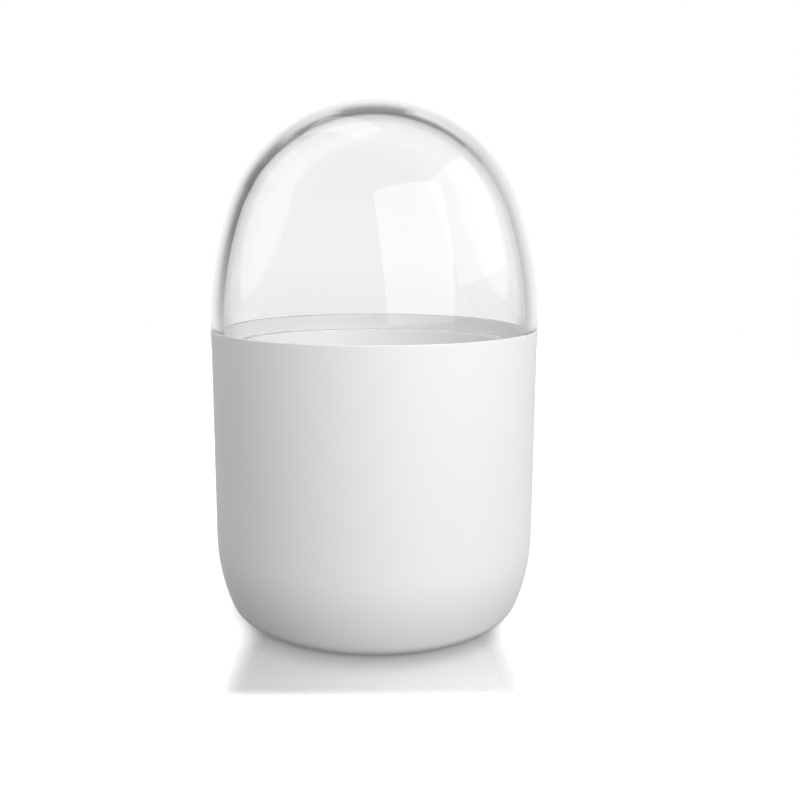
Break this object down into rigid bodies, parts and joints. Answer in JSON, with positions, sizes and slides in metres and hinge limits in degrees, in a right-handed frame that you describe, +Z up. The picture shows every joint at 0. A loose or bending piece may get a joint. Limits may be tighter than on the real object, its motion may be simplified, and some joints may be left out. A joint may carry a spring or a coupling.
{
  "type": "toothpick dispenser",
  "caption": "Capsule-shaped toothpick holder: a white cup with a rounded foot, and a clear domed lid that laps inside the cup's rim and lifts off.",
  "frame": {"origin": "centre of the foot, on the surface that the holder stands on", "axes": "+Z up, along the axis that cup and lid are turned about; X and Y are any two level directions"},
  "size_m": [0.07, 0.07, 0.11],
  "materials": {
    "cup": "satin white",
    "lid": "clear, polished"
  },
  "bodies": {
    "cup": {"cup": "cup"},
    "lid": {"dome_lid": "lid"}
  },
  "joints": [
    {"name": "lid_lift", "type": "slide", "parent": "cup", "child": "lid", "axis": [0, 0, 1], "range_m": [0, 0.04]}
  ]
}
